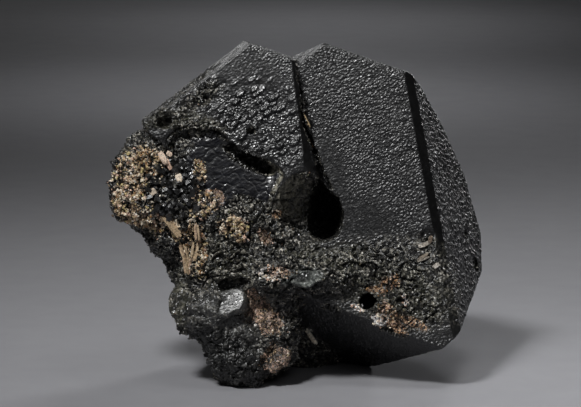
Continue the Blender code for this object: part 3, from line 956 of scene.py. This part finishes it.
BLACK_CRYSTAL = stone("black_crystal", 1.62, (0.30, 0.42), 0.03 * MM, 0.09 * MM)
CRUSTED_ROCK = stone("crusted_rock", 1.7, (0.26, 0.48), 0.40 * MM, 0.05 * MM)


def grain_material(name, stops, roughness, ior):
    """Small crystals, each of its own tint, with a little unevenness."""
    s = Shader(name)
    own = s.colours(s.read("tint"), stops)
    cloudy = s.band(s.noise(0.3 * MM, 4, 0.7), 0.32, 0.62, 0.45, 1.25)
    uneven = s.band(s.noise(0.6 * MM), 0.3, 0.7, roughness * 0.7, roughness * 1.2)
    normal = s.bump(s.noise(0.18 * MM, 3), 0.06 * MM)
    return s.made(s.mix(1.0, own, cloudy, "MULTIPLY"), uneven, ior, normal)


CARBONATE = grain_material(
    "carbonate_grains",
    [
        (0, (0.010, 0.009, 0.007)),
        (0.2, (0.10, 0.06, 0.03)),
        (0.33, (0.46, 0.22, 0.08)),
        (0.44, (0.62, 0.52, 0.25)),
        (0.55, (0.62, 0.46, 0.29)),
        (0.62, (0.42, 0.31, 0.19)),
        (0.70, (0.72, 0.48, 0.36)),
        (0.88, (0.90, 0.80, 0.63)),
        (1, (0.92, 0.90, 0.86)),
    ],
    0.5,
    1.6,
)
BLACK_GRAINS = grain_material(
    "black_grains",
    [
        (0, (0.005, 0.005, 0.005)),
        (0.3, (0.018, 0.018, 0.018)),
        (0.5, (0.07, 0.068, 0.06)),
        (0.65, (0.10, 0.10, 0.055)),
        (0.75, (0.14, 0.085, 0.05)),
        (0.88, (0.32, 0.27, 0.21)),
        (1, (0.60, 0.57, 0.52)),
    ],
    0.35,
    1.9,
)

# How often each tint comes up, as tint and share
TAN_TINTS = ((0.0, 5), (0.2, 3), (0.33, 1), (0.44, 1.5), (0.55, 4), (0.7, 2), (0.88, 7), (1.0, 2))
PINK_TINTS = ((0.0, 5), (0.2, 4), (0.55, 3), (0.7, 6), (0.88, 2), (1.0, 0.5))
PALE_TINTS = ((0.0, 4), (0.7, 2), (0.88, 2), (1.0, 3))
RUST_TINTS = ((0.0, 7), (0.2, 5), (0.33, 2), (0.55, 4), (0.7, 3), (0.88, 4), (1.0, 2))
ROCK_TINTS = ((0.0, 7), (0.3, 5), (0.5, 4), (0.65, 2), (0.75, 1), (0.88, 1.3), (1.0, 0.6))
BLOCK_TINTS = ((0.0, 8), (0.3, 3), (0.5, 0.6), (0.88, 0.3))


# The pieces of the surface

# What keeps the fine mesh: how much it faces the camera, and how far back it lies
SEEN_SLANT = 0.12
SEEN_DEPTH = 4 * MM

# Where the surface is cut into pieces
FRONT_DEPTH = 6 * MM
CRACK_RIGHT = 1.2 * MM
ROCK_SPLIT = -8 * MM


def thinned(mesh, keep_fine):
    """The mesh with fewer triangles where keep_fine is 0."""
    copy = added("thinned", mesh)
    group = copy.vertex_groups.new(name="coarse")
    group.add(np.flatnonzero(~keep_fine).tolist(), 1.0, "REPLACE")
    decimate = copy.modifiers.new("Decimate", "DECIMATE")
    decimate.vertex_group = "coarse"
    fine_share = keep_fine.mean()
    decimate.ratio = fine_share + (1 - fine_share) * BACK_SHARE
    decimate.use_collapse_triangulate = True
    return modified(copy)


seen = (TOWARDS > SEEN_SLANT) & (PLACES[:, 1] < SEEN_DEPTH)
mesh = thinned(mesh, spread_out(seen.astype(float), 6) > 0.5)

corners = as_array(mesh.loops, "vertex_index", 1, np.int32).reshape(-1, 3)
places = as_array(mesh.vertices, "co", 3)
facing = as_array(mesh.vertices, "normal", 3)
stored = {name: as_array(mesh.attributes[name].data, "value", 1, np.float32) for name in STORED}
middles = places[corners].mean(1)
face = nearest_faces(middles)
crystal = stored["crystal"][corners].mean(1) > 0.5
right_of_crack = middles[:, 0] > CRACK_RIGHT
front = (facing[corners].mean(1) @ np.array(TO_CAMERA) > 0) & (middles[:, 1] < FRONT_DEPTH)
left = middles[:, 0] < ROCK_SPLIT
PIECES = {
    "right_crystal": crystal & right_of_crack & front & (face == RIGHT_FRONT),
    "right_crystal_side": crystal & right_of_crack & front & (face != RIGHT_FRONT),
    "left_crystal": crystal & ~right_of_crack & front,
    "left_rock": ~crystal & front & left,
    "lower_rock": ~crystal & front & ~left,
    "crystal_backs": crystal & ~front,
    "rock_back": ~crystal & ~front,
}

# The six ways that a flat map looks at a piece, and the map's share of its square and its margin
SIX_WAYS = np.concatenate([np.eye(3), -np.eye(3)])
MAP_SHARE = 0.97
MAP_MARGIN = 0.015
thin_edges = as_array(mesh.edges, "vertices", 2, np.int32)
broad_facing = np.stack([spread_out(facing[:, i], 12, thin_edges) for i in range(3)], 1)


def laid_out(part, places, numbered, out):
    """A flat map of the piece for baking: what faces each of six ways, side by side."""
    way = (out[numbered].mean(1) @ SIX_WAYS.T).argmax(1)
    used = np.unique(way)
    across = math.ceil(math.sqrt(len(used)))
    spots = np.zeros((len(numbered), 3, 2))
    for cell, number in enumerate(used):
        these = way == number
        flat = np.delete(places[numbered[these]], number % 3, axis=2)
        low, high = flat.min((0, 1)), flat.max((0, 1))
        inside = (flat - low) / (high - low).max() * MAP_SHARE + MAP_MARGIN
        spots[these] = (inside + (cell % across, cell // across)) / across
    part.uv_layers.new(name="OFBake").data.foreach_set("uv", spots.ravel())


def shown(name, part, material):
    """A mesh as a piece of the object."""
    part.materials.append(material)
    body = added(name, part)
    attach(body, BODY)
    return body


def piece(name, chosen):
    """One piece of the surface, which keeps the whole surface's directions at its rim."""
    used, numbered = np.unique(corners[chosen], return_inverse=True)
    numbered = numbered.reshape(-1, 3)
    part = bpy.data.meshes.new(name)
    part.from_pydata(places[used], [], numbered)
    laid_out(part, places[used], numbered, broad_facing[used])
    part.shade_smooth()
    for key, numbers in stored.items():
        keep(part, key, numbers[used])
    part.normals_split_custom_set_from_vertices(facing[used].tolist())
    return shown(name, part, BLACK_CRYSTAL if "crystal" in name else CRUSTED_ROCK)


pieces = {name: piece(name, chosen) for name, chosen in PIECES.items()}
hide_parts(NODE)


# Small grains and splinters, as joined meshes: the corners and triangles of one of each kind

CUBE = (
    np.array(list(itertools.product((-0.5, 0.5), repeat=3))),
    np.array(
        [(0, 1, 3), (0, 3, 2), (4, 6, 7), (4, 7, 5), (0, 4, 5), (0, 5, 1)]
        + [(2, 3, 7), (2, 7, 6), (0, 2, 6), (0, 6, 4), (1, 5, 7), (1, 7, 3)]
    ),
)
OCTAHEDRON = (
    0.6 * np.array([(1, 0, 0), (-1, 0, 0), (0, 1, 0), (0, -1, 0), (0, 0, 1), (0, 0, -1)]),
    np.array([(0, 2, 4), (2, 1, 4), (1, 3, 4), (3, 0, 4), (2, 0, 5), (1, 2, 5), (3, 1, 5), (0, 3, 5)]),
)

# A lath: rings of four corners along its length, and how wide each ring is
RINGS = ((-0.5, 0.75), (-0.3, 1.0), (0.25, 1.0), (0.5, 0.7))
RING = ((-1, -1), (1, -1), (1, 1), (-1, 1))


def lath():
    """The lath's corners, and the triangles of its ends and of the bands between its rings."""
    points = np.array([(x, y * wide / 2, z * wide / 2) for x, wide in RINGS for y, z in RING])
    sides = [(0, 3, 2), (0, 2, 1), (12, 13, 14), (12, 14, 15)]
    for ring, side in itertools.product(range(0, 12, 4), range(4)):
        here, beside = ring + side, ring + (side + 1) % 4
        sides += [(here, beside, beside + 4), (here, beside + 4, here + 4)]
    return points, np.array(sides)


def bits(name, middles, axes, sizes, tints, material, lots, shape=OCTAHEDRON, jitter=0.3):
    """Many small bits as one piece: a middle, three axes, three sizes and a tint for each."""
    count, (points, faces) = len(middles), shape
    own = points[None] + (lots.random((count, len(points), 3)) - 0.5) * jitter
    own = np.einsum("nij,njk->nik", own * sizes[:, None], axes)
    corners_of_all = (own + middles[:, None]).reshape(-1, 3)
    sides = (faces[None] + len(points) * np.arange(count)[:, None, None]).reshape(-1, 3)
    part = bpy.data.meshes.new(name)
    part.from_pydata(corners_of_all, [], sides)
    keep(part, "tint", np.repeat(tints, len(points)))
    return shown(name, part, material)


def any_way(count, lots):
    """Random sets of three axes."""
    first = unit(lots.normal(size=(count, 3)))
    second = unit(np.cross(first, lots.normal(size=(count, 3))))
    return np.stack([first, second, np.cross(first, second)], 1)


# How far above the floor the grains start, the size of their clumps of like tint, and how alike those are
GRAIN_FLOOR = 0.8 * MM
CLUMP = 1.4 * MM
CLUMP_SHARE = 0.45


def scattered(name, mask, count, sizes, material, seed, tints, sunk, *looks):
    """Grains on the surface, more where the mask is larger, each sunk by a share of its size."""
    lots = np.random.default_rng(seed)
    mask = np.clip(mask, 0, None) * (MOVED[:, 2] > GRAIN_FLOOR)
    chosen = lots.choice(len(mask), count, replace=False, p=mask / mask.sum())
    size = sizes[0] + (sizes[1] - sizes[0]) * lots.random(count) ** 3
    sides = [lots.uniform(0.8, 1.3, count), lots.uniform(0.6, 1, count), lots.uniform(0.5, 0.9, count)]
    middles = MOVED[chosen] + FACING[chosen] * (size * (0.25 - sunk))[:, None] * MM
    values, shares = np.array(tints).T
    clump = cells(PLACES[chosen], CLUMP, seed)[3][:, 2]
    draw = np.clip((1 - CLUMP_SHARE) * lots.random(count) + CLUMP_SHARE * clump, 0, 0.999)
    order = np.searchsorted(np.cumsum(shares) / shares.sum(), (draw - draw.min()) / np.ptp(draw) * 0.999)
    own = np.clip(values[order] + lots.normal(0, 0.02, count), 0, 1)
    sizes = size[:, None] * np.stack(sides, 1) * MM
    return bits(name, middles, any_way(count, lots), sizes, own, material, lots, *looks)


seen_side = ramp(TOWARDS, -0.3, 0.2)
raised = ramp(RELIEF, -0.06, 0.08)
tan_rock = TAN * (1 - 0.8 * DARK_BLOCKS) * ROCK * raised
dark_rock = DARK_BLOCKS * ROCK * seen_side
bare_rock = ROCK * (1 - FRACTURE) ** 3
for mask in (HOLLOW, 0.85 * LOBE, SHADE_PATCHES, POCKET, SLATE):
    bare_rock *= 1 - mask
bare_rock = (bare_rock + 0.35 * ROUGH_LEFT + 0.8 * ROUGH_FRONT * (1 - RIBS)) * (1 - HOLLOW)

scattered("tan_grains", tan_rock, 4500, (0.18, 0.66), CARBONATE, 5, TAN_TINTS, 0.2)
scattered("pink_grains", PINK * seen_side, 2400, (0.14, 0.4), CARBONATE, 6, PINK_TINTS, 0.3)
scattered("pale_grains", PALE * seen_side * raised, 220, (0.2, 0.55), CARBONATE, 11, PALE_TINTS, 0.2)
scattered("rust_grains", RUST * seen_side * raised, 620, (0.10, 0.34), CARBONATE, 10, RUST_TINTS, 0.3)
scattered("dark_blocks", dark_rock, 420, (0.35, 1.1), BLACK_GRAINS, 7, BLOCK_TINTS, 0.1, CUBE, 0.34)
scattered("rock_grains", bare_rock * raised, 11000, (0.13, 0.52), BLACK_GRAINS, 8, ROCK_TINTS, 0.25)


def splinters(name, given, material, seed):
    """Long bits that lie on the surface.

    Each is given as right, up, length, width, turn in degrees, tint, and how many lie side by side."""
    lots = np.random.default_rng(seed)
    middles, axes, sizes, tints = [], [], [], []
    for right, up, length, width, turn, tint, count in given:
        place = spot(right, up)
        out = (surface.find_nearest(place)[1] + 0.5 * (TO_CAMERA + 0.3 * UP)).normalized()
        close = np.linalg.norm(PLACES - np.array(place), axis=1) < 0.5 * MM
        place = place + out * float(HEIGHT[close].max())
        along = picture_way(turn)
        for _ in range(count):
            lean = along + Vector(lots.normal(0, 0.12, 3))
            level = (lean - out * lean.dot(out) * 0.7).normalized()
            across = out.cross(level).normalized()
            aside = across * lots.uniform(-0.5, 0.5) * width * (count > 1)
            shift = aside + level * lots.normal(0, 0.1) * length
            middles.append(np.array(place + (shift + out * lots.uniform(0.0, 0.25)) * MM))
            axes.append(np.array([level, across, level.cross(across)]))
            slim = width / count ** 0.7 * lots.uniform(0.7, 1.2)
            size = (length * lots.uniform(0.8, 1.1), slim, slim * lots.uniform(0.5, 0.9))
            sizes.append(np.array(size) * MM)
            tints.append(np.clip(tint + lots.normal(0, 0.04), 0, 1))
    middles, axes, sizes, tints = (np.array(each) for each in (middles, axes, sizes, tints))
    return bits(name, middles, axes, sizes, tints, material, lots, lath(), 0.22)


splinters(
    "carbonate_chips",
    (
        (-20.8, 36.3, 2, 1.3, -50, 0.80, 2),
        (-20.1, 35.4, 1.8, 1, -58, 0.74, 2),
        (-17.9, 33.2, 1.7, 1.1, -72, 0.88, 1),
        (-21.7, 31.3, 1.3, 0.9, -50, 0.86, 1),
        (-19.6, 37.2, 1.1, 0.7, -30, 0.75, 1),
        (-19, 25.8, 4, 1.8, -54, 0.60, 6),
        (-17, 21.6, 3, 1, -68, 0.60, 5),
        (-16.4, 19.6, 2.2, 1.1, -75, 0.61, 5),
        (-15, 25, 2.6, 1, -84, 0.60, 4),
        (-15.5, 22, 2.6, 1, -100, 0.59, 5),
        (2.9, 8.8, 2.6, 1, -62, 0.88, 2),
        (-5.9, 10.1, 0.6, 0.5, 0, 1, 1),
        (2, 42.5, 2.1, 0.4, -66, 0.55, 3),
        (3.2, 38.3, 2.6, 0.4, -62, 0.33, 3),
    ),
    CARBONATE,
    9,
)
splinters(
    "crystal_chips",
    (
        (20.2, 22.7, 1.3, 0.6, 10, 0.88, 1),
        (21.1, 23.1, 1.3, 0.6, 40, 0.90, 1),
        (21.7, 23.9, 1, 0.5, 75, 0.87, 1),
        (20.5, 20.8, 2, 0.7, 28, 0.84, 2),
        (22.5, 19.4, 1.1, 0.6, 30, 0.84, 1),
    ),
    BLACK_GRAINS,
    12,
)


# Floor, light and camera

FLOOR_SIZE = 6
FLOOR_TONES = ((0, (0.265, 0.265, 0.282)), (1, (0.30, 0.30, 0.318)))
FLOOR_GRAIN = 900
FLOOR_ROUGHNESS = 0.9
AIR_COLOUR = (0.8, 0.82, 0.85, 1)
AIR_LIGHT = 0.018


def plain_floor():
    s = Shader("pale_floor")
    grain = s.node("TexNoise", Scale=FLOOR_GRAIN).outputs["Fac"]
    s.put(s.surface.inputs["Base Color"], s.colours(grain, FLOOR_TONES))
    s.put(s.surface.inputs["Roughness"], FLOOR_ROUGHNESS)
    bpy.ops.mesh.primitive_plane_add(size=FLOOR_SIZE, location=(0, 0, 0))
    floor = bpy.context.active_object
    floor.name = "floor"
    floor.data.materials.append(s.material)


def soft_light(name, place, size, power, spread=180, target=(0, 0, 0.025)):
    """A round lamp that looks at the target, its light narrowed to spread degrees."""
    light = bpy.data.lights.new(name, "AREA")
    light.shape = "DISK"
    light.size = size
    light.energy = power
    light.spread = math.radians(spread)
    lamp = added(name, light)
    lamp.location = place
    lamp.visible_camera = False
    lamp.rotation_euler = (Vector(target) - Vector(place)).to_track_quat("-Z", "Y").to_euler()


plain_floor()
soft_light("key", (-0.13, -0.19, 0.35), 0.08, 0.095, 50, (0.015, 0, 0.02))
soft_light("front_fill", (0.10, -0.45, 0.40), 0.3, 0.12)
soft_light("top_light", (0.06, -0.02, 0.26), 0.12, 0.07)
soft_light("right_floor_light", (0.072, -0.04, 0.22), 0.08, 0.011, 40, (0.072, -0.04, 0))
soft_light("left_back_light", (-0.34, 1.48, 0.26), 0.55, 0.14, 50)
soft_light("right_back_light", (0.66, 0.90, 0.375), 0.16, 0.032, 18)
soft_light("back_fill", (0.14, 0.42, 0.42), 0.16, 0.026, 36)
soft_light("middle_floor_light", (0.0, 0.31, 0.22), 0.10, 0.021, 56, (0.0, 0.31, 0))
soft_light("far_floor_light", (0.01, 0.46, 0.24), 0.10, 0.0125, 48, (0.01, 0.46, 0))


def dim_room():
    """A little light from all round."""
    world = bpy.data.worlds.new("room")
    world.use_nodes = True
    background = world.node_tree.nodes["Background"]
    background.inputs["Color"].default_value = AIR_COLOUR
    background.inputs["Strength"].default_value = AIR_LIGHT
    bpy.context.scene.world = world


def photograph_camera():
    camera = added("camera", bpy.data.cameras.new("camera"))
    camera.data.lens = LENS
    camera.data.sensor_width = SENSOR
    camera.data.clip_start = 0.01
    camera.location = CAMERA_PLACE
    camera.rotation_euler = (-TO_CAMERA).to_track_quat("-Z", "Y").to_euler()
    bpy.context.scene.camera = camera
    bpy.context.scene.view_settings.view_transform = "Standard"


dim_room()
photograph_camera()
